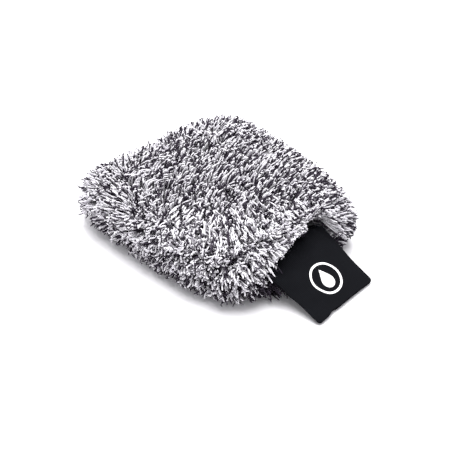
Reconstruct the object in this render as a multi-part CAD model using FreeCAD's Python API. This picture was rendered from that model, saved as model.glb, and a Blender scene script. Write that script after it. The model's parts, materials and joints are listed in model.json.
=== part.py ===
"""Car wash mitt: a pocket of two-tone tufted microfibre with a lining and a knitted wrist cuff.

Frame: +Z up, X across the mitt, -Y towards the open end of the cuff. The mitt lies on its palm side,
and the origin is at the bottom centre of the whole object. Lengths are in millimetres.
"""
import FreeCAD, Part
import math
import os

Vec = FreeCAD.Vector

# Pile envelope: the rounded block that the tips of the tufts make.
BODY_WIDTH = 203.0
BODY_LENGTH = 213.0
BODY_HEIGHT = 52.0
OUTLINE_POWER = 5.0
WRIST_TAPER = 0.17
OUTLINE_POINTS = 48
MID_HEIGHT = BODY_HEIGHT / 2

# (height, how far the outline is drawn in there)
PILE_LEVELS = (
    (0.0, 12.0),
    (6.0, 4.0),
    (MID_HEIGHT, 0.0),
    (39.0, 3.5),
    (46.0, 13.0),
    (50.0, 32.0),
    (BODY_HEIGHT, 60.0),
)

# Ground cloth and lining: pillow-shaped shells inside the pile, one inside the other.
PILE_DEPTH_SIDE = 22.5
PILE_DEPTH_FLAT = 16.0
GROUND_THICKNESS = 1.5
LINING_GAP_SIDE = 5.0
LINING_GAP_FLAT = 1.0
LINING_THICKNESS = 1.0
PILLOW_EDGE = 4.0
PILLOW_CROWN = 14.0

# Overlocked seams: flat bands of thread around three sides, at mid height.
SHELL_SEAM_WIDTH = 1.6
SHELL_SEAM_HEIGHT = 3.0
LINING_SEAM_WIDTH = 1.2
LINING_SEAM_HEIGHT = 2.4
SHELL_SEAM_CLEARANCE = 1.1
LINING_SEAM_CLEARANCE = 0.3

# Wrist ring: the bound seam that joins ground cloth, lining and cuff round the hand opening.
RING_HALF_WIDTH = 40.0
RING_HALF_HEIGHT = 7.0
RING_WALL = 2.2
RING_DEPTH = 4.0
RING_HEIGHT = 27.0
OPENING_REACH = 40.0

# Cuff: a doubled knitted tube that droops from the wrist to the surface the mitt lies on.
CUFF_WIDTH = 75.5
CUFF_LENGTH = 68.7
CUFF_PITCH = 20.5
CUFF_YAW = 6.6
CUFF_PLY = 1.35
CUFF_HALF_HEIGHT_ROOT = 5.5
CUFF_HALF_HEIGHT_MOUTH = 4.6
CUFF_CORNER_RADIUS = 5.0
CUFF_ROOT_GAP = 3.0
CUFF_SEAM_RADIUS = 0.6
CUFF_SEAM_INSET = 3.1

# Wrist hinge: the line across the root of the cuff about which it folds up over the mitt.
HINGE_X = 0.8
HINGE_SETBACK = 6.5
NOTCH_SIDE_CLEARANCE = 4.5

# Printed mark: a plain ring with a water drop in it, on the cuff's upper side.
PRINT_FROM_MOUTH = 27.0
PRINT_THICKNESS = 0.25
RING_MARK_RADIUS = 15.5
RING_MARK_WIDTH = 2.0
DROP_HEIGHT = 19.0
DROP_WIDTH = 13.0


def outline(inset, height):
    """Closed curve of the mitt's outline at a height, drawn in by inset."""
    half_width = BODY_WIDTH / 2 - inset
    half_length = BODY_LENGTH / 2 - inset
    points = []
    for i in range(OUTLINE_POINTS):
        angle = 2 * math.pi * i / OUTLINE_POINTS
        across = abs(math.cos(angle) / half_width) ** OUTLINE_POWER
        along = abs(math.sin(angle) / half_length) ** OUTLINE_POWER
        radius = (across + along) ** (-1 / OUTLINE_POWER)
        x = radius * math.cos(angle)
        y = radius * math.sin(angle)
        toward_wrist = (half_length - y) / (2 * half_length)
        points.append(Vec(x * (1 - WRIST_TAPER * toward_wrist ** 2), y, height))
    curve = Part.BSplineCurve()
    curve.interpolate(Points=points, PeriodicFlag=True)
    return Part.Wire([curve.toShape()])


def stacked(levels):
    """Solid through the outline at each (height, inset)."""
    return Part.makeLoft([outline(inset, height) for height, inset in levels], True, True)


def pillow(inset, low, high):
    """Cloth pillow whose widest line is at mid height."""
    edge = (high - low) * 0.15
    levels = (
        (low, inset + PILLOW_CROWN),
        (low + edge, inset + PILLOW_EDGE),
        (MID_HEIGHT, inset),
        (high - edge, inset + PILLOW_EDGE),
        (high, inset + PILLOW_CROWN),
    )
    return stacked(levels)


def half_space(upper):
    """Box that holds everything above mid height, or everything below it."""
    size = 400.0
    low = MID_HEIGHT if upper else MID_HEIGHT - size
    return Part.makeBox(size, size, size, Vec(-size / 2, -size / 2, low))


def seam_band(inset, width, height):
    """Flat band that follows the outline at mid height, open where the wrist ring is."""
    bottom = MID_HEIGHT - height / 2
    outer = Part.Face(outline(inset, bottom)).extrude(Vec(0, 0, height))
    inner = Part.Face(outline(inset + width, bottom)).extrude(Vec(0, 0, height))
    mouth = RING_HALF_WIDTH + 3.0
    gap = Part.makeBox(2 * mouth, 60.0, 40.0, Vec(-mouth, -BODY_LENGTH / 2 - 10.0, 0))
    return outer.cut(inner).cut(gap)


def slot_bar(half_width, half_height, y_front, depth):
    """Bar of stadium section along Y, which stands for the hand opening or for what fills it."""
    side = half_width - half_height
    top = RING_HEIGHT + half_height
    low = RING_HEIGHT - half_height
    right = Part.Arc(Vec(side, y_front, low), Vec(half_width, y_front, RING_HEIGHT), Vec(side, y_front, top))
    left = Part.Arc(Vec(-side, y_front, top), Vec(-half_width, y_front, RING_HEIGHT), Vec(-side, y_front, low))
    upper = Part.LineSegment(Vec(side, y_front, top), Vec(-side, y_front, top))
    lower = Part.LineSegment(Vec(-side, y_front, low), Vec(side, y_front, low))
    edges = [curve.toShape() for curve in (right, upper, left, lower)]
    return Part.Face(Part.Wire(edges)).extrude(Vec(0, depth, 0))


def cuff_section(half_width, half_height, reach):
    """Elliptical section of the cuff, in the cuff's own frame, at a distance from the hinge."""
    section = Part.Ellipse(Vec(0, 0, 0), half_width, half_height).toShape()
    section.rotate(Vec(0, 0, 0), Vec(1, 0, 0), 90)
    section.translate(Vec(0, -reach, 0))
    return Part.Wire([section])


def cuff_body(shrink, start, end):
    """Flattened tube, solid through, drawn in by shrink, from start to end along the cuff."""
    slope = (CUFF_HALF_HEIGHT_MOUTH - CUFF_HALF_HEIGHT_ROOT) / (CUFF_LENGTH - CUFF_ROOT_GAP)

    def half_height(reach):
        return CUFF_HALF_HEIGHT_ROOT + slope * (reach - CUFF_ROOT_GAP) - shrink

    half_width = CUFF_WIDTH / 2 - shrink
    sections = [cuff_section(half_width, half_height(reach), reach) for reach in (start, end)]
    return Part.makeLoft(sections, True, True)


def cuff_plan():
    """Plate that rounds the two corners at the mouth of the cuff."""
    half = CUFF_WIDTH / 2 + 1.0
    plate = Part.makeBox(2 * half, CUFF_LENGTH, 40.0, Vec(-half, -CUFF_LENGTH, -20.0))
    mouth_edges = [e for e in plate.Edges if e.BoundBox.ZLength > 39 and e.BoundBox.YMax < -CUFF_LENGTH / 2]
    return plate.makeFillet(CUFF_CORNER_RADIUS, mouth_edges)


def drop_face(centre_y, height):
    """Water drop in plan, its point towards the wrist and its middle at centre_y."""
    radius = DROP_WIDTH / 2
    belly_y = centre_y - (DROP_HEIGHT / 2 - radius)
    tip = Vec(0, centre_y + DROP_HEIGHT / 2, height)
    angle = math.asin(radius / (tip.y - belly_y))
    touch_x = radius * math.cos(angle)
    touch_y = belly_y + radius * math.sin(angle)
    right = Vec(touch_x, touch_y, height)
    left = Vec(-touch_x, touch_y, height)
    belly = Part.Arc(right, Vec(0, belly_y - radius, height), left)
    sides = [Part.LineSegment(left, tip), Part.LineSegment(tip, right)]
    return Part.Face(Part.Wire([curve.toShape() for curve in (belly, *sides)]))


def mark_cutter():
    """Upright ring and drop that cut the printed mark out of a skin over the cuff."""
    centre_y = -(CUFF_LENGTH - PRINT_FROM_MOUTH)
    reach = 40.0
    centre = Vec(0, centre_y, 0)
    disc = Part.makeCylinder(RING_MARK_RADIUS, reach, centre)
    core = Part.makeCylinder(RING_MARK_RADIUS - RING_MARK_WIDTH, reach, centre)
    return [disc.cut(core), drop_face(centre_y, 0).extrude(Vec(0, 0, reach))]


def placed_cuff(shape):
    """Moves a shape from the cuff's own frame, hinge at the origin, to its place at the wrist."""
    moved = shape.copy()
    moved.rotate(Vec(0, 0, 0), Vec(1, 0, 0), CUFF_PITCH)
    moved.rotate(Vec(0, 0, 0), Vec(0, 0, 1), CUFF_YAW)
    moved.translate(Vec(HINGE_X, HINGE_Y, HINGE_Z))
    return moved


# Where the shells and the hinge come, from the dimensions above.
GROUND_INSET = PILE_DEPTH_SIDE
LINING_INSET = GROUND_INSET + GROUND_THICKNESS + LINING_GAP_SIDE
GROUND_LOW = PILE_DEPTH_FLAT
LINING_LOW = GROUND_LOW + GROUND_THICKNESS + LINING_GAP_FLAT
SHELL_FRONT = -(BODY_LENGTH / 2 - GROUND_INSET)
HINGE_Y = SHELL_FRONT - HINGE_SETBACK
MOUTH_CENTRE_Z = CUFF_HALF_HEIGHT_MOUTH * math.cos(math.radians(CUFF_PITCH))
HINGE_Z = MOUTH_CENTRE_Z + CUFF_LENGTH * math.sin(math.radians(CUFF_PITCH))


def hand_opening():
    """Bar that fills the hand opening through pile, ground cloth and lining."""
    return slot_bar(RING_HALF_WIDTH, RING_HALF_HEIGHT, SHELL_FRONT - OPENING_REACH / 2, OPENING_REACH)


def pile_nodes():
    """The tufted pile of both sides, as closed solids round the ground cloth, clear of the cuff's path."""
    hollow = pillow(GROUND_INSET, GROUND_LOW, BODY_HEIGHT - GROUND_LOW)
    half = CUFF_WIDTH / 2 + NOTCH_SIDE_CLEARANCE
    notch = Part.makeBox(2 * half, 60.0 + HINGE_SETBACK, 160.0, Vec(-half, -60.0, -80.0))
    notch.rotate(Vec(0, 0, 0), Vec(0, 0, 1), CUFF_YAW)
    notch.translate(Vec(HINGE_X, HINGE_Y, HINGE_Z))
    pile = stacked(PILE_LEVELS).cut(hollow).cut(notch).cut(hand_opening())
    return {"back_pile": pile.common(half_space(True)), "palm_pile": pile.common(half_space(False))}


def shell_nodes(inset, low, thickness, names):
    """A cloth shell in two halves, joined at mid height, with the hand opening cut through its front."""
    high = BODY_HEIGHT - low
    shell = pillow(inset, low, high).cut(pillow(inset + thickness, low + thickness, high - thickness))
    shell = shell.cut(hand_opening())
    return {names[0]: shell.common(half_space(True)), names[1]: shell.common(half_space(False))}


def seam_nodes():
    """The two overlocked bands and the wrist ring."""
    shell_inset = GROUND_INSET + GROUND_THICKNESS + SHELL_SEAM_CLEARANCE
    lining_inset = LINING_INSET - LINING_SEAM_WIDTH - LINING_SEAM_CLEARANCE
    ring = slot_bar(RING_HALF_WIDTH, RING_HALF_HEIGHT, SHELL_FRONT, RING_DEPTH)
    hole = slot_bar(RING_HALF_WIDTH - RING_WALL, RING_HALF_HEIGHT - RING_WALL, SHELL_FRONT - 1.0, RING_DEPTH + 2.0)
    return {
        "shell_seam": seam_band(shell_inset, SHELL_SEAM_WIDTH, SHELL_SEAM_HEIGHT),
        "lining_seam": seam_band(lining_inset, LINING_SEAM_WIDTH, LINING_SEAM_HEIGHT),
        "wrist_seam": ring.cut(hole),
    }


def cuff_nodes():
    """The cuff, the seam that closes it into a tube, and the mark printed on it."""
    start = CUFF_ROOT_GAP
    outside = cuff_body(0.0, start, CUFF_LENGTH)
    inside = cuff_body(CUFF_PLY, start - 1.0, CUFF_LENGTH + 1.0)
    skin = cuff_body(-PRINT_THICKNESS, start, CUFF_LENGTH)
    film = skin.cut(outside)
    mark = Part.makeCompound([film.common(cutter) for cutter in mark_cutter()])
    seam_length = CUFF_LENGTH - start - 2 * CUFF_CORNER_RADIUS
    seam_at = Vec(-CUFF_WIDTH / 2 + CUFF_SEAM_INSET, -start - 1.0, 0)
    return {
        "cuff": placed_cuff(outside.cut(inside).common(cuff_plan())),
        "cuff_seam": placed_cuff(Part.makeCylinder(CUFF_SEAM_RADIUS, seam_length, seam_at, Vec(0, -1, 0))),
        "cuff_print": placed_cuff(mark),
    }


def build_nodes():
    """Every piece of the mitt by name, before the origin is moved."""
    nodes = {}
    nodes.update(pile_nodes())
    nodes.update(shell_nodes(GROUND_INSET, GROUND_LOW, GROUND_THICKNESS, ("back_panel", "palm_panel")))
    nodes.update(shell_nodes(LINING_INSET, LINING_LOW, LINING_THICKNESS, ("lining_back", "lining_palm")))
    nodes.update(seam_nodes())
    nodes.update(cuff_nodes())
    return nodes


def main():
    """Writes one STEP file per piece, with the origin at the bottom centre of the whole object."""
    os.makedirs("parts", exist_ok=True)
    nodes = build_nodes()
    whole = Part.makeCompound(list(nodes.values())).optimalBoundingBox(False)
    to_origin = Vec(-whole.Center.x, -whole.Center.y, -whole.ZMin)
    for name, shape in nodes.items():
        shape.translate(to_origin)
        shape.exportStep(os.path.join("parts", name + ".step"))
        box = shape.optimalBoundingBox(False)
        print(f"{name:12s} valid {shape.isValid()} solids {len(shape.Solids)} volume {shape.Volume:9.1f}"
              f"  x {box.XMin:7.2f} {box.XMax:7.2f}  y {box.YMin:7.2f} {box.YMax:7.2f}"
              f"  z {box.ZMin:6.2f} {box.ZMax:6.2f}")
    hinge = Vec(HINGE_X, HINGE_Y, HINGE_Z) + to_origin
    print(f"overall {whole.XLength:.1f} x {whole.YLength:.1f} x {whole.ZLength:.1f},"
          f" hinge at {hinge.x:.2f} {hinge.y:.2f} {hinge.z:.2f}")


main()
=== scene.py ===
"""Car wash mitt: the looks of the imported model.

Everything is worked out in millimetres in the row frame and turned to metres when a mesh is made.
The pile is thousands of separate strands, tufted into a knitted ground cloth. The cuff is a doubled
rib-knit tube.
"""
import json
import math

import bmesh
import bpy
import numpy as np
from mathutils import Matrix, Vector
from mathutils.kdtree import KDTree


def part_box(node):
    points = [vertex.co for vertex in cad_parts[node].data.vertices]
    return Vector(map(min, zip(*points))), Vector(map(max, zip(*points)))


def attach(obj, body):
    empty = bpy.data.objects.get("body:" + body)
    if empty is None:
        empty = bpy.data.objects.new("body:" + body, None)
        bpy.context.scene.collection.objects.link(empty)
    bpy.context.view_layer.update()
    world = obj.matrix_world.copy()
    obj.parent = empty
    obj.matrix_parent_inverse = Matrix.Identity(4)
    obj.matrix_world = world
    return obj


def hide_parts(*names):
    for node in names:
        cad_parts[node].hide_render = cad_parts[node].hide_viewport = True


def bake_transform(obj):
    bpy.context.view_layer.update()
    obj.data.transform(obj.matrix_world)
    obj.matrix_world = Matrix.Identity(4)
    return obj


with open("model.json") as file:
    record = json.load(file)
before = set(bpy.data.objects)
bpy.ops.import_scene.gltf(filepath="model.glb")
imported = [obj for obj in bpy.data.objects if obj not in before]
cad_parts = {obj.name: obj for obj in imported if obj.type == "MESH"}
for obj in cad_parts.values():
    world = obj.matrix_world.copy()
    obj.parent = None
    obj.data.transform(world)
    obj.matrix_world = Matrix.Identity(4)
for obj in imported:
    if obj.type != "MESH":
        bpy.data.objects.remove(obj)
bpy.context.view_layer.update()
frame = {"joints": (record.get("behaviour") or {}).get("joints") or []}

MM = 0.001
UP = np.array([0, 0, 1.0])
rng = np.random.default_rng(20)


# ---- measures from the frame
def box_mm(node):
    """Lowest and highest corner of a CAD node, in millimetres."""
    low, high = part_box(node)
    return np.array(low) / MM, np.array(high) / MM


back_low, back_high = box_mm("back_pile")
palm_low, palm_high = box_mm("palm_pile")
ring_low, ring_high = box_mm("wrist_seam")
ring_middle = (ring_low + ring_high) / 2
ground_high = box_mm("back_panel")[1]
lining_high = box_mm("lining_back")[1]
joint = frame["joints"][0]

WRIST_TAPER = 0.17  # share of its width that the body loses at the wrist end
OUTLINE_POWER = 5.0  # superellipse power of the body's outline
WIDEST_SHARE = 0.9836  # the tapered body's width over the outline's full width
TOP = back_high[2]
MID = back_low[2]
HALF_LENGTH = (palm_high[1] - palm_low[1]) / 2
CENTRE_Y = (palm_high[1] + palm_low[1]) / 2
HALF_WIDTH = back_high[0] / WIDEST_SHARE
BODY_MIDDLE = np.array([0, CENTRE_Y, MID])
GROUND_INSET = palm_high[1] - ground_high[1]
LINING_INSET = palm_high[1] - lining_high[1]
GROUND_HALF_HEIGHT = ground_high[2] - MID
LINING_HALF_HEIGHT = lining_high[2] - MID

# The cuff's own frame: x across it, s along it from the hinge towards the mouth, z out of its upper side.
HINGE = np.array(joint["pos_m"]) / MM
ACROSS = -np.array(joint["axis"])
PITCH = math.radians(20.5)
FLAT_ALONG = np.cross(ACROSS, UP)
ALONG = FLAT_ALONG * math.cos(PITCH) - UP * math.sin(PITCH)
OUT = np.cross(ALONG, ACROSS)
CUFF_LENGTH = 68.7
CUFF_HALF_WIDTH = 37.75
CUFF_RIB_PITCH = 1.5


def smooth(low, high, value):
    """Smooth step from 0 at low to 1 at high."""
    t = np.clip((value - low) / (high - low), 0, 1)
    return t * t * (3 - 2 * t)


def unit(vectors):
    """Vectors at length 1."""
    return vectors / np.maximum(np.linalg.norm(vectors, axis=-1, keepdims=True), 1e-9)


def signed_power(values, exponent):
    """Power of the size of each value, with the value's own sign."""
    return np.sign(values) * np.abs(values) ** exponent


def wrist_taper(y, half_length):
    """Share of its full width that the body has at each distance y past its centre."""
    return 1 - WRIST_TAPER * (np.clip(half_length - y, 0, None) / (2 * half_length)) ** 2


def outline(theta, inset):
    """Point of the body's outline at each polar angle, drawn in by inset."""
    half_width = HALF_WIDTH - inset
    half_length = HALF_LENGTH - inset
    across = np.abs(np.cos(theta) / half_width) ** OUTLINE_POWER
    along = np.abs(np.sin(theta) / half_length) ** OUTLINE_POWER
    radius = (across + along) ** (-1 / OUTLINE_POWER)
    y = radius * np.sin(theta)
    return radius * np.cos(theta) * wrist_taper(y, half_length), y + CENTRE_Y


def outline_share(points, inset):
    """1 on the body's outline drawn in by inset, and less inside it."""
    y = points[..., 1] - CENTRE_Y
    x = points[..., 0] / wrist_taper(y, HALF_LENGTH)
    across = np.abs(x / (HALF_WIDTH - inset)) ** OUTLINE_POWER
    along = np.abs(y / (HALF_LENGTH - inset)) ** OUTLINE_POWER
    return (across + along) ** (1 / OUTLINE_POWER)


def at_opening(points, beside, behind, over):
    """Whether each point is in the room round the hand opening, widened by these amounts."""
    x, y, z = points.T
    level = (z > ring_low[2] - over) & (z < ring_high[2] + over)
    return level & (np.abs(x) < ring_high[0] + beside) & (y < ring_high[1] + behind)


def pillow(theta, phi, inset, half_height, power):
    """Point of a pillow: phi is 90 degrees at the back's middle and -90 at the palm's."""
    edge_x, edge_y = outline(theta, inset)
    share = np.abs(np.cos(phi)) ** (2 / power)
    rise = signed_power(np.sin(phi), 2 / power)
    return np.stack([edge_x * share, CENTRE_Y + (edge_y - CENTRE_Y) * share, MID + half_height * rise], -1)


class Waves:
    """Smooth noise from a sum of plane waves, between about -1 and 1."""

    def __init__(self, length, count=9, dims=3):
        direction = unit(rng.normal(size=(count, dims)))
        self.wave = direction * math.tau / (length * rng.uniform(0.7, 1.6, (count, 1)))
        self.phase = rng.uniform(0, math.tau, count)

    def __call__(self, points):
        return np.sin(points @ self.wave.T + self.phase).mean(-1) * 2.1


# ---- mesh helpers
def new_object(name, points, faces, material, attributes=None, caps=None):
    """Smooth shaded mesh object from points in millimetres, quads and any end caps."""
    mesh = bpy.data.meshes.new(name)
    groups = [np.asarray(group, np.int32) for group in (faces, caps) if group is not None]
    sizes = np.concatenate([np.full(len(group), group.shape[1], np.int32) for group in groups])
    loops = np.concatenate([group.ravel() for group in groups])
    mesh.vertices.add(len(points))
    mesh.vertices.foreach_set("co", (np.asarray(points) * MM).astype(np.float32).ravel())
    mesh.loops.add(len(loops))
    mesh.loops.foreach_set("vertex_index", loops)
    mesh.polygons.add(len(sizes))
    mesh.polygons.foreach_set("loop_start", np.concatenate([[0], np.cumsum(sizes)[:-1]]).astype(np.int32))
    for key, values in (attributes or {}).items():
        values = np.asarray(values, np.float32)
        kind, field = ("FLOAT", "value") if values.ndim == 1 else ("FLOAT_VECTOR", "vector")
        mesh.attributes.new(key, kind, "POINT").data.foreach_set(field, values.ravel())
    mesh.update(calc_edges=True)
    mesh.polygons.foreach_set("use_smooth", np.ones(len(sizes), bool))
    mesh.materials.append(material)
    piece = bpy.data.objects.new(name, mesh)
    bpy.context.scene.collection.objects.link(piece)
    return piece


def grid_quads(rows, columns, wrap_rows=False, wrap_columns=False):
    """Quads of a grid of points, row after row."""
    r = np.arange(rows if wrap_rows else rows - 1)[:, None]
    c = np.arange(columns if wrap_columns else columns - 1)[None, :]
    r2, c2 = (r + 1) % rows, (c + 1) % columns
    corners = (r * columns + c, r * columns + c2, r2 * columns + c2, r2 * columns + c)
    return np.stack(np.broadcast_arrays(*corners), -1).reshape(-1, 4)


def strand_tubes(lines, radius):
    """Closed, slightly flattened and twisted tubes round many strands at once."""
    count, steps = lines.shape[:2]
    sides = STRAND_SIDES
    tangent = unit(np.gradient(lines, axis=1))
    u = unit(np.cross(tangent[:, 0], unit(rng.normal(size=(count, 3)))))
    frames = []
    for k in range(steps):
        u = unit(u - tangent[:, k] * (u * tangent[:, k]).sum(-1, keepdims=True))
        frames.append(u)
    u = np.stack(frames, 1)
    v = np.cross(tangent, u)
    turn = rng.uniform(0, math.tau, (count, 1))
    turn = turn + rng.choice([-1, 1], (count, 1)) * STRAND_TWIST * STRAND_SHARES
    local = np.arange(sides) * math.tau / sides
    angle = turn[..., None] + local
    reach = radius[..., None] * (1 + STRAND_FLATNESS * np.cos(2 * local))
    ring = u[:, :, None] * np.cos(angle)[..., None] + v[:, :, None] * np.sin(angle)[..., None]
    points = lines[:, :, None] + ring * reach[..., None]
    start = (np.arange(count) * steps * sides)[:, None, None]
    quads = (grid_quads(steps, sides, wrap_columns=True)[None] + start).reshape(-1, 4)
    foot = start[:, 0] + np.arange(sides)[::-1]
    tip = start[:, 0] + (steps - 1) * sides + np.arange(sides)
    share = np.broadcast_to(STRAND_SHARES[None, :, None], (count, steps, sides)).ravel()
    return points.reshape(-1, 3), quads, np.concatenate([foot, tip]), share


def thread_tube(line, radius, sides=5):
    """Tube round a line, open at its ends; returns points and quads."""
    tangent = unit(np.gradient(line, axis=0))
    nearly_up = unit(np.array([0.013, 0.021, 1.0]))  # no thread here runs quite parallel to it
    u = unit(np.cross(tangent, nearly_up))
    v = np.cross(tangent, u)
    angle = np.arange(sides) * math.tau / sides
    ring = u[:, None] * np.cos(angle)[:, None] + v[:, None] * np.sin(angle)[:, None]
    return (line[:, None] + ring * radius).reshape(-1, 3), grid_quads(len(line), sides, wrap_columns=True)


def joined(*parts):
    """Several (points, quads) as one."""
    points, quads, start = [], [], 0
    for part_points, part_quads in parts:
        points.append(part_points)
        quads.append(part_quads + start)
        start += len(part_points)
    return np.concatenate(points), np.concatenate(quads)


# ---- materials
class Nodes:
    """Short names for building one procedural material."""

    def __init__(self, name):
        self.material = bpy.data.materials.new(name)
        self.material.use_nodes = True
        self.tree = self.material.node_tree
        self.shader = self.tree.nodes["Principled BSDF"]
        self.place = self.add("TexCoord").outputs["Object"]

    def add(self, kind, **values):
        node = self.tree.nodes.new("ShaderNode" + kind)
        for key, value in values.items():
            if key in node.inputs:
                node.inputs[key].default_value = value
            else:
                setattr(node, key, value)
        return node

    def link(self, output, target):
        self.tree.links.new(output, target)

    def set(self, **values):
        for key, value in values.items():
            self.shader.inputs[key.replace("_", " ")].default_value = value

    def attribute(self, name, output="Fac"):
        return self.add("Attribute", attribute_name=name).outputs[output]

    def texture(self, kind, output="Fac", **values):
        """Output of a texture laid out by the object's own coordinates, in metres."""
        node = self.add(kind, **values)
        self.link(self.place, node.inputs["Vector"])
        return node.outputs[output]

    def math(self, operation, a, b=None):
        """Result of a maths node; a and b are sockets or numbers."""
        node = self.add("Math", operation=operation)
        for socket, value in zip(node.inputs, (a, b)):
            if hasattr(value, "links"):
                self.link(value, socket)
            elif value is not None:
                socket.default_value = value
        return node.outputs[0]

    def ramp(self, factor, *stops):
        """Colour ramp from (position, grey or colour) stops."""
        node = self.add("ValToRGB")
        elements = node.color_ramp.elements
        while len(elements) < len(stops):
            elements.new(0.5)
        for element, (position, colour) in zip(elements, stops):
            element.position = position
            element.color = (*colour, 1) if hasattr(colour, "__len__") else (colour, colour, colour, 1)
        self.link(factor, node.inputs["Fac"])
        return node.outputs["Color"]

    def base(self, colour, *shades):
        """Gives the shader its base colour: a colour multiplied by each of the shades."""
        for shade in shades:
            node = self.add("Mix", data_type="RGBA", blend_type="MULTIPLY")
            node.inputs["Factor"].default_value = 1
            self.link(colour, node.inputs["A"])
            self.link(shade, node.inputs["B"])
            colour = node.outputs["Result"]
        self.link(colour, self.shader.inputs["Base Color"])

    def bump(self, height, distance, strength=1.0):
        node = self.add("Bump", Distance=distance, Strength=strength)
        self.link(height, node.inputs["Height"])
        self.link(node.outputs["Normal"], self.shader.inputs["Normal"])


def strand_material(name, dark, light, sheen, roughness, gloss, soft=0.0):
    """Twisted microfibre strand: colour varies from strand to strand, and painted shade darkens each one
    towards its root.
    """
    n = Nodes(name)
    n.set(Roughness=roughness, Sheen_Weight=sheen, Sheen_Roughness=0.4, Specular_IOR_Level=gloss)
    n.set(Subsurface_Weight=soft, Subsurface_Scale=0.002, Subsurface_Radius=(1.0, 0.97, 1.0))
    tint = n.ramp(n.attribute("tint"), (0.0, dark), (1.0, light))
    # painted shade: each strand is darker towards its root, deep in the pile
    along = n.ramp(n.attribute("along"), (0.0, 0.7), (0.5, 1.0), (1.0, 1.0))
    fibre = n.texture("TexNoise", Scale=2200.0, Detail=3.0, Roughness=0.6)
    speckle = n.ramp(fibre, (0.3, 0.86), (0.7, 1.0))
    n.base(tint, along, speckle)
    n.bump(fibre, 0.0002, 0.6)
    return n.material


def knit_material(name, dark, light, stitch_width, stitch_height, sheen=0.3):
    """Knitted cloth: columns of V stitches, laid out by the mesh's cloth coordinates in millimetres, with
    painted shade in the grooves.
    """
    n = Nodes(name)
    n.set(Roughness=0.9, Sheen_Weight=sheen, Sheen_Roughness=0.5, Specular_IOR_Level=0.05)
    split = n.add("SeparateXYZ")
    n.link(n.attribute("cloth", "Vector"), split.inputs[0])
    column = n.math("MULTIPLY", split.outputs["X"], math.tau / stitch_width)
    rib = n.math("ABSOLUTE", n.math("SINE", n.math("MULTIPLY", column, 0.5)))
    lean = n.math("MULTIPLY", rib, stitch_height * 0.5)
    row = n.math("MULTIPLY", n.math("ADD", split.outputs["Y"], lean), math.tau / stitch_height)
    loop = n.math("MULTIPLY", n.math("ADD", n.math("SINE", row), 1.0), 0.5)
    height = n.math("MULTIPLY", n.math("ADD", n.math("MULTIPLY", loop, 0.45), 0.55), rib)
    fuzz = n.texture("TexNoise", Scale=1500.0, Detail=4.0, Roughness=0.7)
    cloud = n.texture("TexNoise", Scale=45.0, Detail=3.0)
    # painted shade: the yarn is darker in the grooves between the stitches and the ribs
    yarn_with_groove_shade = n.ramp(height, (0.0, dark), (0.85, light))
    patchy = n.ramp(cloud, (0.3, 0.86), (0.7, 1.0))
    lint = n.ramp(fuzz, (0.25, 0.8), (0.75, 1.0))
    n.base(yarn_with_groove_shade, patchy, lint)
    n.bump(n.math("ADD", height, n.math("MULTIPLY", fuzz, 0.25)), 0.0002, 0.8)
    return n.material


def thread_material(name, dark, light):
    """Sewing thread: fine diagonal ply, with painted shade in its grooves, and a slight gloss."""
    n = Nodes(name)
    n.set(Roughness=0.55, Sheen_Weight=0.2)
    ply = n.texture("TexWave", wave_type="BANDS", bands_direction="DIAGONAL", Scale=900.0, Distortion=1.5)
    # painted shade: the thread is darker in the grooves between its plies
    n.base(n.ramp(ply, (0.1, dark), (0.9, light)))
    n.bump(ply, 0.00008, 0.6)
    return n.material


def print_material(name):
    """Flexible white transfer print: satin film with fine crazing and a little wear."""
    n = Nodes(name)
    n.set(Roughness=0.5)
    wear = n.texture("TexNoise", Scale=600.0, Detail=5.0, Roughness=0.7)
    craze = n.texture("TexVoronoi", "Distance", feature="DISTANCE_TO_EDGE", Scale=1400.0)
    film = n.ramp(wear, (0.25, (0.62, 0.62, 0.63)), (0.5, (0.86, 0.86, 0.86)))
    cracks = n.ramp(craze, (0.0, 0.75), (0.08, 1.0))
    n.base(film, cracks)
    n.bump(wear, 0.00006, 0.5)
    return n.material


WHITE_STRAND = strand_material("white_strand", (0.56, 0.547, 0.583), (0.635, 0.622, 0.653),
                               sheen=0.05, roughness=0.9, gloss=0.05, soft=0.8)
CHARCOAL_STRAND = strand_material("charcoal_strand", (0.014, 0.011, 0.017), (0.046, 0.038, 0.053),
                                  sheen=0.02, roughness=0.8, gloss=0.06)
GROUND_KNIT = knit_material("ground_knit_cloth", (0.10, 0.10, 0.11), (0.30, 0.29, 0.31), 1.3, 1.1)
LINING_KNIT = knit_material("lining_knit_cloth", (0.30, 0.30, 0.31), (0.62, 0.62, 0.64), 1.0, 0.9)
CUFF_KNIT = knit_material("cuff_rib_knit", (0.0018, 0.0020, 0.0026), (0.0068, 0.0072, 0.0094),
                          CUFF_RIB_PITCH, 1.0, sheen=0.0)
SEAM_THREAD = thread_material("overlock_thread", (0.32, 0.32, 0.34), (0.68, 0.68, 0.70))
BLACK_THREAD = thread_material("black_thread", (0.006, 0.006, 0.008), (0.03, 0.031, 0.036))
PRINT_FILM = print_material("white_transfer_film")


# ---- the cuff's surface
CUFF_MOUTH_HALF_HEIGHT = 2.3
CUFF_ROOT_HALF_HEIGHT = 6.0
CUFF_MIDDLE_HALF_HEIGHT = 3.4
CUFF_RING_HALF_WIDTH = 36.5
CUFF_ROOT_HALF_WIDTH = 41.5  # it is widest just past the wrist ring
CUFF_START = -6.5  # where the cuff leaves the wrist ring, along s
CUFF_PLY = 1.3
CUFF_SECTION_POWER = 2.4
CUFF_CORNER_RADIUS = 4.0
MOUTH_DROOP = 2.1  # how far the mouth hangs below the CAD cuff's straight axis

cuff_folds = Waves(26.0, 7, 2)


def mouth_droop(s):
    """How far the cuff hangs below its straight axis at each s."""
    return MOUTH_DROOP * np.clip(s / CUFF_LENGTH, 0, None) ** 2


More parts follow.
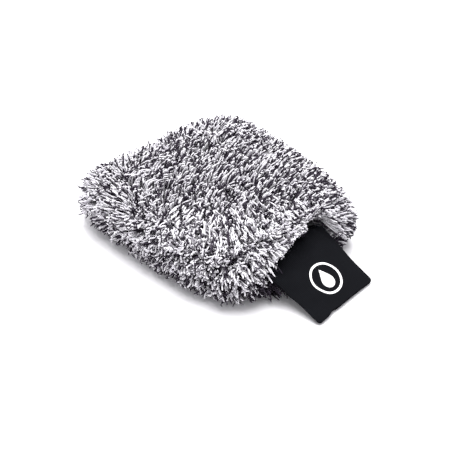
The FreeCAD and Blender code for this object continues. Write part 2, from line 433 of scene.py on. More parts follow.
def cuff_centre(s):
    """Centre line of the cuff, and its across and out directions, at each s."""
    blend = smooth(CUFF_START, 14.0, s)[..., None]
    ring_centre = np.array([0, ring_low[1], ring_middle[2]])
    level = ring_centre + np.array([0, -1.0, 0]) * (s - CUFF_START)[..., None]
    straight = HINGE + ALONG * s[..., None] - OUT * mouth_droop(s)[..., None]
    centre = level * (1 - blend) + straight * blend
    across = unit(np.array([1.0, 0, 0]) * (1 - blend) + ACROSS * blend)
    out = unit(UP * (1 - blend) + OUT * blend)
    return centre, across, out


def cuff_sizes(s):
    """Half width and half height of the cuff's outer surface at each s."""
    half_width = CUFF_ROOT_HALF_WIDTH + (CUFF_HALF_WIDTH - CUFF_ROOT_HALF_WIDTH) * smooth(0.0, 52.0, s)
    half_width = half_width - (CUFF_ROOT_HALF_WIDTH - CUFF_RING_HALF_WIDTH) * smooth(2.0, CUFF_START, s)
    flattening = smooth(-10.0, 62.0, s)
    half_height = CUFF_ROOT_HALF_HEIGHT + (CUFF_MOUTH_HALF_HEIGHT - CUFF_ROOT_HALF_HEIGHT) * flattening
    return half_width, half_height


def mouth_cut_back(x):
    """How far the mouth's edge is cut back across the cuff: round corners and a dent."""
    corner = np.clip((np.abs(x) - (CUFF_HALF_WIDTH - CUFF_CORNER_RADIUS)) / CUFF_CORNER_RADIUS, 0, 1)
    rounding = CUFF_CORNER_RADIUS * (1 - np.sqrt(np.clip(1 - corner ** 2.2, 0, 1)))
    dent = 1.2 * np.exp(-((x + 17.0) / 4.5) ** 2)
    hollow = 1.2 * (1 - (x / CUFF_HALF_WIDTH) ** 2)
    return rounding + dent + hollow - 0.3


def section(turn):
    """Shares of the half width and the half height at each turn round the cuff's section."""
    return [signed_power(wave(turn), 2 / CUFF_SECTION_POWER) for wave in (np.cos, np.sin)]


def cuff_point(turn, s, shrink):
    """Point of the cuff's cloth: turn goes round it, s along it and shrink in from its outer face."""
    half_width, half_height = cuff_sizes(s)
    unit_x, unit_z = section(turn)
    x = unit_x * (half_width - shrink)
    z = unit_z * np.maximum(half_height - shrink, 0.25)
    cut = mouth_cut_back(unit_x * CUFF_HALF_WIDTH) * smooth(20.0, CUFF_LENGTH, s)
    gather = smooth(16.0, CUFF_START, s)
    z = z + unit_z * 0.9 * gather * np.sin(unit_x * 21.0)
    flat = np.stack([x, s], -1)
    ripple = 0.55 * cuff_folds(flat) * smooth(0.0, 20.0, s) * (1 - 0.6 * smooth(50, CUFF_LENGTH, s))
    centre, across, out = cuff_centre(s - cut)
    return centre + across * x[..., None] + out * (z + ripple)[..., None], unit_x


def ribbed(points, x_mm, s, depth_root, depth_mouth, outward):
    """Pushes points in and out along outward, in fine ribs that run along the cuff."""
    depth = depth_mouth + (depth_root - depth_mouth) * smooth(30.0, -2.0, s)
    wave = np.cos(x_mm * math.tau / CUFF_RIB_PITCH)
    return points + outward * (depth * wave)[..., None]


def even_turns(count):
    """Turns round the cuff's section that are evenly spaced along its surface."""
    dense = np.linspace(0, math.tau, 20001)
    x, z = section(dense)
    step = np.hypot(np.diff(x * CUFF_HALF_WIDTH), np.diff(z * CUFF_MIDDLE_HALF_HEIGHT))
    length = np.concatenate([[0], np.cumsum(step)])
    wanted = np.arange(count) / count * length[-1]
    return np.interp(wanted, length, dense), wanted


def make_cuff():
    """The doubled knit tube: outer face, folded edge at the mouth and inner face."""
    turns, distance = even_turns(620)
    half_ply = CUFF_PLY / 2
    edge = CUFF_LENGTH - half_ply
    outer = np.linspace(CUFF_START, edge, 66)
    fold = np.linspace(0, math.pi, 9)[1:-1]
    inner = np.linspace(edge, CUFF_START, 50)
    s = np.concatenate([outer, edge + half_ply * np.sin(fold), inner])
    shrink = [np.zeros(len(outer)), half_ply * (1 - np.cos(fold)), np.full(len(inner), CUFF_PLY)]
    shrink = np.concatenate(shrink)
    turn_grid, s_grid = np.meshgrid(turns, s)
    shrink_grid = np.broadcast_to(shrink[:, None], s_grid.shape)
    distance_grid = np.broadcast_to(distance, s_grid.shape)
    points, unit_x = cuff_point(turn_grid, s_grid, shrink_grid)
    side = np.sign(np.sin(turn_grid))
    out = cuff_centre(s_grid)[2]
    face = 1 - 2 * shrink_grid / CUFF_PLY
    edge_fade = 1 - smooth(0.93, 1.0, np.abs(unit_x))
    outward = out * (side * face * edge_fade)[..., None]
    points = ribbed(points, distance_grid, s_grid, 0.30, 0.06, outward)
    points[..., 2] = np.maximum(points[..., 2], 0.15)
    cloth = np.stack([distance_grid, s_grid, 0 * s_grid], -1).reshape(-1, 3)
    faces = grid_quads(len(s), len(turns), wrap_rows=True, wrap_columns=True)
    piece = new_object("cuff_rib_tube", points.reshape(-1, 3), faces, CUFF_KNIT, {"cloth": cloth})
    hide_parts("cuff")
    return piece


def on_cuff(x, s, lift):
    """Point on the cuff's upper face at x across and s along, raised by lift."""
    half_width = cuff_sizes(s)[0]
    share = np.clip(np.abs(x) / half_width, 0, 1)
    turn = np.arccos(np.clip(np.sign(x) * share ** (CUFF_SECTION_POWER / 2), -1, 1))
    points, _ = cuff_point(turn, s, 0 * s)
    return points + cuff_centre(s)[2] * lift


# ---- the pile
STRAND_SHARES = np.array([0.0, 0.22, 0.40, 0.53, 0.63, 0.71, 0.78, 0.84, 0.90, 0.95, 0.985, 1.0])
STRAND_PROFILE = np.array([0.80, 0.92, 1.0, 1.02, 1.04, 1.04, 1.02, 0.98, 0.93, 0.85, 0.66, 0.36])
STRAND_SIDES = 5
STRAND_TWIST = 6.0  # turn of a strand's section from foot to tip, in radians
STRAND_FLATNESS = 0.14
MAX_STRANDS = 1700  # strands per piece; per piece, to keep each mesh file under its triangle limit
OUTER_POWER = 3.7  # roundness of the pile's outer shape from its edge to its crown
UNDER_POWER = 3.3  # the same for its lower half, which tucks under more
UNDER_HALF_HEIGHT = 31.0  # the palm's pile would hang this far below the middle if nothing held it up
COMB = unit(np.array([0.80, -0.50, 0.0]))  # the way the back was last brushed
SWEPT_LEFT = unit(np.array([-0.55, 0.83, 0.0]))  # and the way the left side of the wrist end was
RIGHT = unit(np.array([0.752, -0.659, 0.0]))  # one diagonal of the body, and FAR is the other
FAR = unit(np.array([0.66, 0.75, 0.0]))
LOCKS_AT = np.array([-8.0, -52.0, 40.0])  # long locks fall across the cuff's root from here
LOCKS_REACH = np.array([19.0, 15.0, 12.0])
CUFF_CLEARANCE = 0.9
UNDER_CUFF_CLEARANCE = 2.8  # the cloth's ripples and gathers hang lower than its plain section
WRIST_HALF_WIDTH = 43.0
FLOOR_GAP = 0.8
FLOOR_BAND = 3.0  # strands this near the surface under the mitt bend along it
TUFT_TRIALS = 70000
TUFT_SPACING = 2.85  # on the back; the palm's tufts are PALM_EXTRA_SPACING further apart
PALM_EXTRA_SPACING = 0.8


def outer_pillow(theta, phi):
    """Where the pile's outer face is at each angle."""
    half_height = np.where(phi > 0, TOP - MID, UNDER_HALF_HEIGHT)
    power = np.where(phi > 0, OUTER_POWER, UNDER_POWER)
    return pillow(theta, phi, 0, half_height, power)


def spine_point(points):
    """Nearest point to each point on the flat middle sheet of the ground cloth."""
    share = np.minimum(1, 1 / outline_share(points, GROUND_INSET + GROUND_HALF_HEIGHT))
    y = points[:, 1] - CENTRE_Y
    return np.stack([points[:, 0] * share, CENTRE_Y + y * share, np.full(len(points), MID)], -1)


def outer_share(points):
    """1 on the pile's outer face, and less inside it."""
    flat = outline_share(points, 0)
    upper = points[..., 2] > MID
    rise = np.abs(points[..., 2] - MID) / np.where(upper, TOP - MID, UNDER_HALF_HEIGHT)
    power = np.where(upper, OUTER_POWER, UNDER_POWER)
    return (flat ** power + rise ** power) ** (1 / power)


def scattered_tufts():
    """Angles of the tufts, no two too near each other on the pile's outer face."""
    theta = np.linspace(0, math.tau, 721)
    phi = np.linspace(-math.pi / 2, math.pi / 2, 401)
    theta_grid, phi_grid = np.meshgrid(theta, phi)
    points = outer_pillow(theta_grid, phi_grid)
    normals = np.cross(points[:-1, 1:] - points[:-1, :-1], points[1:, :-1] - points[:-1, :-1])
    area = np.linalg.norm(normals, axis=-1)
    count = TUFT_TRIALS
    row, column = np.unravel_index(rng.choice(area.size, count, p=area.ravel() / area.sum()), area.shape)
    a, b = rng.uniform(size=(2, count))
    theta = theta[column] + a * (theta[1] - theta[0])
    phi = phi[row] + b * (phi[1] - phi[0])
    place = outer_pillow(theta, phi)
    near = TUFT_SPACING + PALM_EXTRA_SPACING * smooth(0.2, -0.5, np.sin(phi))
    tree = KDTree(count)
    for i, p in enumerate(place):
        tree.insert(p, i)
    tree.balance()
    free = np.ones(count, bool)
    kept = []
    for i in range(count):
        if free[i]:
            kept.append(i)
            for _, j, _ in tree.find_range(place[i], near[i]):
                free[j] = False
    return theta[kept], phi[kept]


def wrist_local(points):
    """x across, s along and z out of the cuff for each point."""
    offset = points - HINGE
    return offset @ ACROSS, offset @ ALONG, offset @ OUT


def clear_of_cuff(lines, above):
    """Moves the strands that would run through the cuff over or under it."""
    x, s, z = wrist_local(lines)
    half_width, half_height = cuff_sizes(s)
    z = z + mouth_droop(s)
    up = above[:, None]
    beside = np.where(up, 1.0, 1.8)
    inside = (np.abs(x) < half_width + beside) & (s > CUFF_START - 2) & (s < CUFF_LENGTH + 2)
    profile = 1 - np.abs(x / (half_width + 1.5)) ** CUFF_SECTION_POWER
    profile = np.clip(profile, 0.05, 1) ** (1 / CUFF_SECTION_POWER)
    limit = half_height * profile + np.where(up, CUFF_CLEARANCE, UNDER_CUFF_CLEARANCE)
    push = np.where(up, np.maximum(limit - z, 0), np.minimum(-limit - z, 0))
    return lines + OUT * (push * inside)[..., None]


def locks(place):
    """1 where the long locks over the cuff's root start, fading to 0 around it."""
    return np.exp(-(((place - LOCKS_AT) / LOCKS_REACH) ** 2).sum(-1))


def lean_field(place, normal, curly):
    """Which way the tips lean on the face, and how far, at each tuft."""
    flat = place * (1, 1, 0)
    from_centre = place - BODY_MIDDLE
    radial = unit(from_centre * (1, 1, 0))
    right, far = from_centre @ RIGHT, from_centre @ FAR
    left = smooth(34.0, -34.0, right + 0.38 * far + 84.0)
    near = smooth(-5.0, -65.0, far)
    upright = smooth(60.0, -50.0, right)
    side = 1 - np.abs(normal[:, 2])
    sway, ruffle = (np.stack([Waves(wave)(flat), Waves(wave)(flat), 0 * left], -1) for wave in (62.0, 12.0))
    combed = 1.2 * (1 - left) * (1 - 0.85 * near) * (1 - 0.35 * upright)
    comb = (COMB + FAR * (0.30 * upright)[:, None]) * combed[:, None]
    along_wall = left * side * smooth(13.0, 28.0, place[:, 2])
    swept = 0.5 * left * (1 - 0.7 * side) + 1.1 * along_wall
    comb = comb * (1 - 0.7 * side)[:, None] + SWEPT_LEFT * swept[:, None]
    comb = comb + radial * (0.12 * (1 - along_wall))[:, None]
    scatter = (0.40 + 0.40 * curly + 0.3 * side + 0.2 * left)[:, None]
    direction = comb + 0.40 * sway + 0.50 * ruffle + scatter * rng.normal(size=place.shape) * (1, 1, 0)
    reach = 7.6 - 1.8 * side - 1.0 * upright + 5.0 * along_wall - 4.0 * near
    reach = reach * (1 + 0.3 * Waves(28.0)(flat)) * rng.uniform(0.6, 1.35, len(place))
    in_locks = locks(place)
    direction = direction * (1 - 0.75 * in_locks)[:, None] + RIGHT * (1.3 * in_locks)[:, None]
    reach = reach + 5.5 * in_locks
    return direction * (reach / np.maximum(np.linalg.norm(direction, axis=-1), 0.8))[:, None]


def pinned_under(lines, free):
    """Holds the strands to the pile's trimmed shape; free is how far past it each may stand."""
    outer = outer_share(fuller_front(lines, -1.0))
    over = np.maximum(outer - 1, 0)
    held = np.where(over > 0, 1 + free * (1 - np.exp(-over / free)), outer)
    front = (lines[..., 1] < ring_low[1]) & (np.abs(lines[..., 0]) < WRIST_HALF_WIDTH)
    pinned = BODY_MIDDLE + (lines - BODY_MIDDLE) * np.where(front, 1.0, held / outer)[..., None]
    pinned[..., 2] = TOP + 2 - np.logaddexp(0, TOP + 2 - pinned[..., 2])
    return pinned


def fuller_front(points, amount=1.0):
    """Lets the wrist end's pile stand out further beside the cuff and under its root."""
    x, y, z = points[..., 0], points[..., 1], points[..., 2]
    front = smooth(-52.0, -76.0, y)
    beside = smooth(34.0, 50.0, np.abs(x))
    under = smooth(22.0, 12.0, z) * (1 - beside)
    out = front * (5.0 * beside * smooth(50.0, 30.0, z) + 12.0 * under)
    corner = np.sign(x) * 1.5 * smooth(40.0, 70.0, np.abs(x)) * front
    return points + amount * np.stack([corner, -out, 0 * out], -1)


def fringe_limit(x):
    """How far along the cuff the fringe reaches, at each place across it."""
    return 4.0 * smooth(-8.0, -28.0, x) + 13.0 * smooth(-29.0, -40.0, x) - 9.5 * smooth(2.0, 26.0, x)


def raised_over_cuff(target, above):
    """Turns up the tufts over the cuff's root, so that they leave the cuff bare past the fringe."""
    x, s, _ = wrist_local(target)
    past = np.maximum(s - fringe_limit(x), 0) * (np.abs(x) < CUFF_HALF_WIDTH + 4) * above
    back = past * 0.85
    raised = target - ALONG * back[:, None] + UP * (0.55 * back)[:, None]
    ceiling = np.maximum(target[:, 2], TOP - 6.0)
    raised[:, 2] = np.where(past > 0, np.minimum(raised[:, 2], ceiling), target[:, 2])
    return raised


def brushed_back(lines):
    """Draws in what still hangs past the fringe."""
    x, s, z = wrist_local(lines)
    past = np.maximum(s - fringe_limit(x) - 2.5, 0) * (np.abs(x) < CUFF_HALF_WIDTH + 4) * (z > 0)
    return lines - ALONG * (0.55 * past)[..., None]


def tuft_roots(spine, normal):
    """Where each tuft is sewn in, if it is above the hand opening's middle, and if it is over it."""
    root = spine + normal * (GROUND_HALF_HEIGHT - 1.2)
    above = root[:, 2] > ring_middle[2]
    opening = at_opening(root, 0.5, 4.0, 1.0)
    lift = rng.uniform(0.5, 2.0, len(root))
    root[:, 2] = np.where(opening, np.where(above, ring_high[2] + lift, ring_low[2] - lift), root[:, 2])
    set_back = np.maximum(root[:, 1], ring_low[1] + 1.0) + rng.uniform(0, 7, len(root))
    root[:, 1] = np.where(opening, set_back, root[:, 1])
    return root, above, opening & above


def white_shares(target, side, curly, by_cuff):
    """Share of white strands in each tuft: more near the wrist, and less low on the rim and under the cuff,
    where more charcoal strands paint in the shade.
    """
    # painted shade: the low rim, under the overhanging shoulder, gets more charcoal strands
    low_rim_shade = smooth(34.0, 5.0, target[:, 2]) * side
    share = 0.54 + 0.18 * Waves(9.0)(target) + 0.05 * Waves(30.0)(target) + 0.08 * curly
    share = share + 0.02 * curly * smooth(26.0, 40.0, target[:, 2])
    # painted shade: charcoal strands take the place of white ones low on the rim and under the cuff's root
    return share - 0.42 * low_rim_shade - 0.36 * by_cuff + 0.05 * smooth(-40.0, -80.0, target[:, 0])


def curves(start, straight, shoulder, tip):
    """Cubic curve of each strand from start to tip, leaning on its other two points."""
    share = STRAND_SHARES[None, :, None]
    rest = 1 - share
    lines = start[:, None] * rest ** 3 + 3 * straight[:, None] * share * rest ** 2
    return lines + 3 * shoulder[:, None] * share ** 2 * rest + tip[:, None] * share ** 3


def curled(lines, white, kink, tuft, tufts):
    """Curls the strands: white ones partly with their tuft, charcoal ones on their own."""
    count = len(lines)
    own = np.where(white, 0.6, 1.0)[:, None]

    def directions():
        return unit(rng.normal(size=(count, 3))) * own + unit(rng.normal(size=(tufts, 3)))[tuft] * (1 - own)

    curl = directions()
    other = directions()
    bend = (rng.uniform(0.15, 0.60, count) * (1 + np.where(white, 4.2, 5.0) * kink))[:, None, None]
    begin = rng.uniform(0, math.tau, tufts)[tuft] + own[:, 0] * rng.uniform(0, math.tau, count)
    share = STRAND_SHARES[None, :, None]
    turn = (rng.uniform(4.0, 8.5, count) * (1 + 0.7 * kink))[:, None, None] * share + begin[:, None, None]
    return lines + (curl[:, None] * np.sin(turn) + other[:, None] * np.cos(turn)) * bend * share ** 1.5


def bent_on_floor(lines, radial):
    """Bends the strands that would go through the floor outwards along it."""
    under = np.maximum(FLOOR_GAP + FLOOR_BAND - lines[..., 2], 0)
    lines = lines + radial[:, None] * (0.15 * under)[..., None]
    flattened = FLOOR_GAP + FLOOR_BAND * np.exp(-under / FLOOR_BAND)
    lines[..., 2] = np.where(under > 0, flattened, lines[..., 2])
    return lines


def zone_names(root, side, above, brow):
    """Name of the zone that each tuft belongs to."""
    at_wrist = above & (np.abs(wrist_local(root)[0]) < WRIST_HALF_WIDTH)
    at_wrist &= brow | (root[:, 1] < ring_high[1] + 14.0)
    zone = np.where(above, "back", "palm").astype("<U12")
    zone = np.where(side > 0.45, np.char.add(zone, "_rim"), zone)
    zone = np.where(root[:, 0] < 0, np.char.add(zone, "_left"), np.char.add(zone, "_right"))
    return np.where(at_wrist, "wrist", zone)


def grow_strands():
    """The line, radius, colour and zone of every strand of the pile."""
    target = outer_pillow(*scattered_tufts())
    spine = spine_point(target)
    normal = unit(target - spine)
    root, above, brow = tuft_roots(spine, normal)
    tufts = len(root)
    side = 1 - np.abs(normal[:, 2])
    target = raised_over_cuff(fuller_front(target), above)
    low_left = smooth(27.0, 9.0, target[:, 2]) * smooth(-60.0, -90.0, target[:, 0])
    target[:, 0] += 5.0 * (low_left * smooth(10.0, 45.0, target[:, 1]))
    curly = smooth(-16.0, -72.0, (target - BODY_MIDDLE) @ FAR)
    curly = np.maximum(curly, 0.75 * smooth(0.15, 0.6, side))
    lean = lean_field(target, normal, curly)
    # painted shade: under the cuff's root, fewer white and thicker charcoal strands darken the gap beneath
    # the cuff
    by_cuff = smooth(26.0, 18.0, target[:, 2]) * smooth(-58.0, -70.0, target[:, 1])
    by_cuff = by_cuff * smooth(58.0, 46.0, np.abs(target[:, 0]))
    white_share = white_shares(target, side, curly, by_cuff)
    per_tuft = rng.integers(3, 5, tufts) + (rng.uniform(size=tufts) < 0.4 + curly * 0.9)
    per_tuft = per_tuft + (rng.uniform(size=tufts) < curly * 1.3 - 0.2)

    # Strands of each tuft.
    tuft = np.repeat(np.arange(tufts), per_tuft)
    count = len(tuft)
    order = np.arange(count) - np.repeat(np.cumsum(per_tuft) - per_tuft, per_tuft)
    whites = np.floor(np.clip(white_share, 0, 1) * per_tuft + rng.uniform(size=tufts))
    white = order < whites[tuft]
    kink = (curly * (1 - 0.5 * locks(target)))[tuft]
    around = order / per_tuft[tuft] * math.tau + rng.uniform(0, math.tau, tufts)[tuft]
    spread = np.stack([np.cos(around), np.sin(around), 0 * around], -1)
    start = root[tuft] + 0.8 * spread

    # How long each one is, with some strays that the trim missed.
    tuft_length = 0.97 + 0.05 * Waves(15.0)(target) + rng.normal(0, 0.04, tufts) - 0.06 * curly
    length = tuft_length[tuft] * rng.uniform(0.84, 1.04, count)
    length = np.where(brow[tuft], length * 1.10, length)
    length = np.where(white, length, length * (1.04 - 0.04 * kink))
    corner = smooth(-98.0, -128.0, (target - BODY_MIDDLE) @ RIGHT)
    ragged = (corner + smooth(16.0, 6.0, target[:, 2]) * curly) * (1 - by_cuff)
    stray = rng.uniform(size=count) < (0.035 + 0.08 * ragged + 0.07 * corner)[tuft]
    length = np.where(stray, length * (1.13 + 0.10 * ragged[tuft]), length)

    # Its line: straight out of the cloth, then over to where its tip leans.
    reach = (target[tuft] - start) * length[:, None]
    loose = np.where(white, 1.35 + 0.45 * kink, 1.5 + 1.5 * kink)[:, None]
    fan = rng.normal(size=(count, 3)) * loose
    tuft_fan = (rng.normal(size=(tufts, 3)) * (0.7 + 2.4 * curly)[:, None])[tuft]
    straight = start + normal[tuft] * (0.42 * np.linalg.norm(reach, axis=-1))[:, None]
    shoulder = start + reach * 0.76 + lean[tuft] * 0.22 + 0.5 * fan + 0.5 * tuft_fan
    tip = start + reach + lean[tuft] + fan + tuft_fan + 0.8 * spread
    sag = side[tuft] * (1 - 0.6 * kink) * (1.0 + 3.5 * rng.uniform(0, 1, count))
    sag = sag * smooth(2.0, 22.0, target[tuft][:, 2])
    lines = curves(start, straight, shoulder, tip)
    lines[..., 2] -= sag[:, None] * STRAND_SHARES ** 2
    lines = curled(lines, white, kink, tuft, tufts)

    # The trim, the cuff and the surface under the mitt hold the strands in.
    held_free = np.where(stray, (0.06 + 0.03 * ragged + 0.02 * corner)[tuft], np.where(white, 0.020, 0.034))
    lines = pinned_under(lines, held_free[:, None])
    lines = np.where(above[tuft][:, None, None], brushed_back(lines), lines)
    lines = clear_of_cuff(lines, above[tuft])
    lines = bent_on_floor(lines, unit((target[tuft] - BODY_MIDDLE) * (1, 1, 0)))

    white_radius = rng.uniform(0.63, 0.81, count) + 0.04 * kink
    # painted shade: charcoal strands under the cuff's root are thicker, to darken the gap there
    charcoal_radius = rng.uniform(0.56, 0.72, count) - 0.15 * kink + 0.15 * by_cuff[tuft]
    radius = np.where(white, white_radius, charcoal_radius)[:, None] * STRAND_PROFILE[None, :]
    return lines, radius, white, zone_names(root, side, above, brow)[tuft]


def make_pile():
    """Builds the strands as a few meshes, by zone and colour."""
    lines, radius, white, zone = grow_strands()
    tint = rng.beta(2.2, 1.6, len(lines))
    pieces = []
    for name in sorted(set(zone)):
        for is_white, colour in ((True, "white"), (False, "charcoal")):
            chosen = np.flatnonzero((zone == name) & (white == is_white))
            parts = np.array_split(chosen, math.ceil(len(chosen) / MAX_STRANDS))
            for number, part in enumerate(parts):
                suffix = f"_{number + 1}" if len(parts) > 1 else ""
                points, quads, caps, along = strand_tubes(lines[part], radius[part])
                shade = np.repeat(tint[part], len(STRAND_SHARES) * STRAND_SIDES)
                material = WHITE_STRAND if is_white else CHARCOAL_STRAND
                piece = new_object(f"{name}_tufts_{colour}{suffix}", points, quads, material,
                                   {"tint": shade, "along": along}, caps)
                pieces.append((piece, name, colour))
    return pieces


# ---- ground cloth, lining and seams
SHELL_POWER = 3.2  # roundness of the cloth pillows from edge to crown
SEAM_GAP = 0.58  # angle either side of the wrist ring that the body's seams leave free
BINDING_TURNS = 96


def make_shell(name, material, inset, half_height, upper, thickness):
    """Half of a cloth pillow with real thickness, open at the wrist ring."""
    rows, columns = 44, 240
    theta = np.arange(columns) / columns * math.tau
    phi = np.linspace(0.0, math.pi / 2 - 0.02, rows)
    theta_grid, phi_grid = np.meshgrid(theta, phi if upper else -phi)
    points = pillow(theta_grid, phi_grid, inset, half_height, SHELL_POWER).reshape(-1, 3)
    wrinkle = Waves(20.0)(points) * 0.35
    points[:, 2] += wrinkle * smooth(2.0, 8.0, np.abs(points[:, 2] - MID))
    quads = grid_quads(rows, columns, wrap_columns=True)
    if not upper:
        quads = quads[:, ::-1]
    opening = at_opening(points[quads].mean(1), -2.0, 3.0, -1.0)
    crown = points[(rows - 1) * columns:].mean(0)
    last = (rows - 1) * columns + np.arange(columns)
    fan = np.stack([last, np.roll(last, -1), np.full(columns, len(points))], -1)
    points = np.concatenate([points, crown[None]])
    piece = new_object(name, points, quads[~opening], material, {"cloth": points})
    close_crown(piece, fan if upper else fan[:, ::-1])
    wall = piece.modifiers.new("thickness", "SOLIDIFY")
    wall.thickness = thickness * MM
    wall.offset = -1
    return piece


def close_crown(piece, triangles):
    """Fills the small hole at the middle of a shell with a fan of triangles."""
    mesh = bmesh.new()
    mesh.from_mesh(piece.data)
    mesh.verts.ensure_lookup_table()
    for triangle in triangles:
        face = mesh.faces.new([mesh.verts[i] for i in triangle])
        face.smooth = True
    mesh.normal_update()
    mesh.to_mesh(piece.data)
    mesh.free()


def wound(line, side, up, reach, turn, thread):
    """Thread wound round a line, out to reach[0] beside it and reach[1] over and under it."""
    helix = line + side * (reach[0] * np.cos(turn))[:, None] + up * (reach[1] * np.sin(turn))[:, None]
    return thread_tube(helix, thread)


def points_at(place, knots, line):
    """Points of a line at places between its knots."""
    return np.stack([np.interp(place, knots, line[:, k]) for k in range(3)], -1)


def overlock(line, pitch, reach, thread):
    """Thread wound over a seam that follows a line, with one loop each pitch."""
    step = np.linalg.norm(np.diff(line, axis=0), axis=1)
    length = np.concatenate([[0], np.cumsum(step)])
    turns = int(length[-1] / pitch)
    place = np.linspace(0, length[-1], turns * 10)
    centre = points_at(place, length, line)
    out = unit(np.cross(unit(np.gradient(centre, axis=0)), UP))
    return wound(centre, out, UP, reach, place / pitch * math.tau, thread)


def seam_line(inset, points=500):
    """Line of a seam round the body, from one side of the wrist ring to the other."""
    theta = np.linspace(-math.pi / 2 + SEAM_GAP, 1.5 * math.pi - SEAM_GAP, points)
    x, y = outline(theta, inset)
    return np.stack([x, y, np.full(points, MID)], -1)


def seam_allowance(line, half_width, half_height):
    """Flat band of trimmed cloth edges inside an overlocked seam."""
    tangent = unit(np.gradient(line, axis=0))
    out = unit(np.cross(tangent, UP))
    corners = [(-1, -1), (0, -1.15), (1, -1), (1.1, 0), (1, 1), (0, 1.15), (-1, 1), (-1.1, 0)]
    ring = [line + out * half_width * a + UP * half_height * b for a, b in corners]
    return np.stack(ring, 1).reshape(-1, 3), grid_quads(len(line), len(corners), wrap_columns=True)


def make_overlock_seam(name, node, inset):
    """A body seam: trimmed edges with thread wound over them, in the room of its CAD node."""
    low, high = box_mm(node)
    half_height = (high[2] - low[2]) / 2
    line = seam_line(inset)
    band = seam_allowance(line, 0.5, half_height * 0.7)
    thread = overlock(line, 2.2, (0.75, half_height * 0.85), 0.16)
    looper = thread_tube(line + UP * half_height * 0.9, 0.2)
    piece = new_object(name, *joined(band, thread, looper), SEAM_THREAD)
    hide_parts(node)
    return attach(piece, "mitt")


def stadium(half_width, half_height, y, height, count=260):
    """Closed line round the hand opening."""
    turn = np.linspace(0, math.tau, count)
    x = signed_power(np.cos(turn), 0.55) * half_width
    z = signed_power(np.sin(turn), 0.8) * half_height
    return np.stack([x, np.full(count, y), height + z], -1)


def make_wrist_binding():
    """The bound seam round the hand opening: a rolled edge with thread wound over it."""
    half = (ring_high - ring_low) / 2
    line = stadium(half[0] - 1.2, half[2] - 1.2, ring_middle[1], ring_middle[2])
    out = unit(np.cross(unit(np.gradient(line, axis=0)), (0, 1.0, 0)))
    angle = np.arange(10) / 10 * math.tau
    roll = [line + out * 0.8 * math.cos(a) + np.array([0, 1.6 * math.sin(a), 0]) for a in angle]
    band = (np.stack(roll, 1).reshape(-1, 3), grid_quads(len(line), 10, wrap_columns=True))
    turns = np.linspace(0, 1, 1600)
    place = turns * (len(line) - 1)
    knots = np.arange(len(line))
    path, side = points_at(place, knots, line), points_at(place, knots, out)
    wind = turns * math.tau * BINDING_TURNS
    thread = wound(path, side, np.array([0, 1.0, 0]), (0.95, 1.8), wind, 0.17)
    piece = new_object("wrist_binding", *joined(band, thread), BLACK_THREAD)
    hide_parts("wrist_seam")
    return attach(piece, "mitt")


def make_cuff_overlock():
    """Overlock thread inside the cuff, along the edge where the tube is closed."""
    s = np.linspace(2.0, CUFF_LENGTH - 8.0, 420)
    centre, across, out = cuff_centre(s)
    half_width = cuff_sizes(s)[0]
    line = centre - across * (half_width - 3.6)[:, None]
    thread = wound(line, across, out, (0.55, 0.3), s / 2.4 * math.tau, 0.14)
    piece = new_object("cuff_overlock", *joined(thread, thread_tube(line, 0.22, 6)), BLACK_THREAD)
    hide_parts("cuff_seam")
    return piece


# ---- the printed mark
MARK_FROM_MOUTH = 26.0
MARK_RADIUS = 15.5
MARK_RING = 2.0
DROP_HEIGHT = 19.0
DROP_WIDTH = 13.0
MARK_ANGLES = np.arange(160) / 160 * math.tau


def drop_radius(angle):
    """Distance from the drop's centre to its edge; its point is at 90 degrees, to the wrist."""
    radius = DROP_WIDTH / 2
    belly = -(DROP_HEIGHT / 2 - radius)
    tip = DROP_HEIGHT / 2
    touch = math.asin(radius / (tip - belly))
    c, d = np.cos(angle), np.sin(angle)
    circle = belly * d + np.sqrt(np.maximum(radius ** 2 - (belly * c) ** 2, 0))
    slope = math.cos(touch), math.sin(touch)
    flank = tip * slope[1] / np.maximum(np.abs(c) * slope[0] + d * slope[1], 1e-6)
    edge_y = circle * d
    return np.where(edge_y > belly + radius * math.sin(touch), flank, circle)


def print_film(inner, outer, rings):
    """Thin closed film on the cuff between two outlines, given by their radii at MARK_ANGLES."""
    share = np.linspace(0, 1, rings)[:, None]
    radius = inner[None] * (1 - share) + outer[None] * share
    x = radius * np.cos(MARK_ANGLES)
    s = CUFF_LENGTH - MARK_FROM_MOUTH - radius * np.sin(MARK_ANGLES)
    loop = np.concatenate([on_cuff(x, s, 0.16), on_cuff(x, s, -0.10)[::-1]])
    return loop.reshape(-1, 3), grid_quads(2 * rings, len(MARK_ANGLES), wrap_rows=True, wrap_columns=True)


def make_print():
    """Ring and water drop, printed in white on the upper face of the cuff."""
    ring_edge = np.full(len(MARK_ANGLES), MARK_RADIUS)
    drop_edge = drop_radius(MARK_ANGLES)
    ring = print_film(ring_edge - MARK_RING, ring_edge, 6)
    drop = print_film(0.02 * drop_edge, drop_edge, 22)
    piece = new_object("cuff_mark_print", *joined(ring, drop), PRINT_FILM)
    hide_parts("cuff_print")
    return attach(piece, "cuff")


def build_body():
    """Ground cloth, lining and seams inside the pile."""
    layers = (
        ("ground_cloth", "{}_panel", GROUND_KNIT, "ground_knit", GROUND_INSET, GROUND_HALF_HEIGHT, 1.4),
        ("lining_cloth", "lining_{}", LINING_KNIT, "lining_mesh", LINING_INSET, LINING_HALF_HEIGHT, 0.9),
    )
    made = {}
    for layer, node, material, slot, inset, half_height, thickness in layers:
        for half in ("back", "palm"):
            name = f"{layer}_{half}"
            piece = make_shell(name, material, inset, half_height, half == "back", thickness)
            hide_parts(node.format(half))
            made[name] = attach(piece, "mitt")
    make_overlock_seam("shell_overlock", "shell_seam", GROUND_INSET + 3.4)
    make_overlock_seam("lining_overlock", "lining_seam", LINING_INSET - 0.9)
    make_wrist_binding()
    return made


def build_cuff():
    """The cuff and what is on it."""
    tube, overlock_thread = make_cuff(), make_cuff_overlock()
    for piece in (tube, overlock_thread):
        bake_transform(piece)
    mark = make_print()


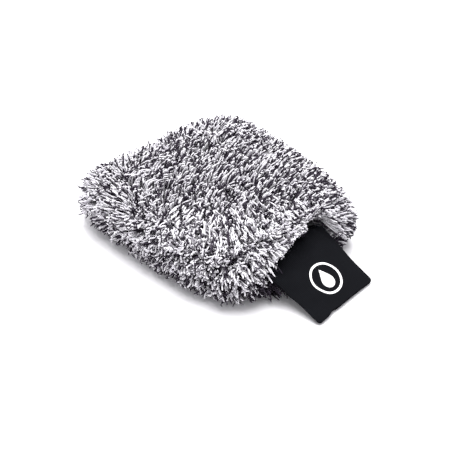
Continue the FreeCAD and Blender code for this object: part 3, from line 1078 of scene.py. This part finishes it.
def build_pile(shells):
    """The strands: those over the cuff's root are left unattached, the others go with the mitt."""
    on_shell = {name: [] for name in shells}
    for piece, zone, colour in make_pile():
        half = "palm" if zone.startswith("palm") else "back"
        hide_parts(half + "_pile")
        on_shell["ground_cloth_" + half].append(piece)
        if zone == "wrist":
            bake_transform(piece)
        else:
            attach(piece, "mitt")


# ---- floor, light and camera
FLOOR_HALF_WIDTH = 6000.0
CAMERA_AZIMUTH = math.radians(-41.25)
CAMERA_ELEVATION = math.radians(38.0)
CAMERA_DISTANCE = 0.991  # in metres, from the middle of the body's length on the floor


def make_floor():
    """Plain pale floor, large enough to fill every view, and a little lighter far away."""
    n = Nodes("pale_floor")
    n.set(Roughness=0.9)
    grain = n.texture("TexNoise", Scale=6.0, Detail=2.0)
    grey = n.ramp(grain, (0.3, (0.915, 0.91, 0.93)), (0.7, (0.93, 0.925, 0.945)))
    reach = n.add("VectorMath", operation="LENGTH")
    n.link(n.place, reach.inputs[0])
    lighter = n.ramp(reach.outputs["Value"], (0.3, 0.96), (0.9, 1.0))
    n.base(grey, lighter)
    corners = np.array([[-1, -1, 0], [1, -1, 0], [1, 1, 0], [-1, 1, 0]]) * FLOOR_HALF_WIDTH
    floor = new_object("floor", corners, [[0, 1, 2, 3]], n.material)


def make_area_light(name, place, size, power, target=(0, 0, 0.02)):
    """Round soft light, in metres and watts, that faces the target."""
    lamp = bpy.data.lights.new(name, "AREA")
    lamp.shape = "DISK"
    lamp.size = size
    lamp.energy = power
    light = bpy.data.objects.new(name, lamp)
    light.location = place
    light.rotation_euler = (Vector(target) - Vector(place)).to_track_quat("-Z", "Y").to_euler()
    bpy.context.scene.collection.objects.link(light)


def make_lights():
    """Soft studio light: bright surround and a large key above and behind the mitt's right."""
    world = bpy.data.worlds.new("studio")
    world.use_nodes = True
    background = world.node_tree.nodes["Background"]
    background.inputs["Color"].default_value = (0.985, 0.975, 1.0, 1)
    background.inputs["Strength"].default_value = 0.86
    bpy.context.scene.world = world
    make_area_light("key", (0.45, 0.57, 1.3), 1.0, 20.0)
    make_area_light("top", (0.05, 0.15, 1.5), 1.6, 39.2)
    bpy.context.scene.view_settings.view_transform = "Standard"


def make_camera():
    """Camera in front and to the left, looking down at the mitt."""
    level = math.cos(CAMERA_ELEVATION)
    back = Vector((math.sin(CAMERA_AZIMUTH) * level, -math.cos(CAMERA_AZIMUTH) * level,
                   math.sin(CAMERA_ELEVATION)))
    data = bpy.data.cameras.new("camera")
    data.lens = 85
    data.sensor_width = 36
    data.shift_x = 0.011
    data.shift_y = -0.002
    camera = bpy.data.objects.new("camera", data)
    camera.location = Vector((0, CENTRE_Y * MM, 0)) + back * CAMERA_DISTANCE
    camera.rotation_euler = back.to_track_quat("Z", "Y").to_euler()
    bpy.context.scene.collection.objects.link(camera)
    bpy.context.scene.camera = camera


make_camera()
make_lights()
make_floor()
cloth_shells = build_body()
build_cuff()
build_pile(cloth_shells)
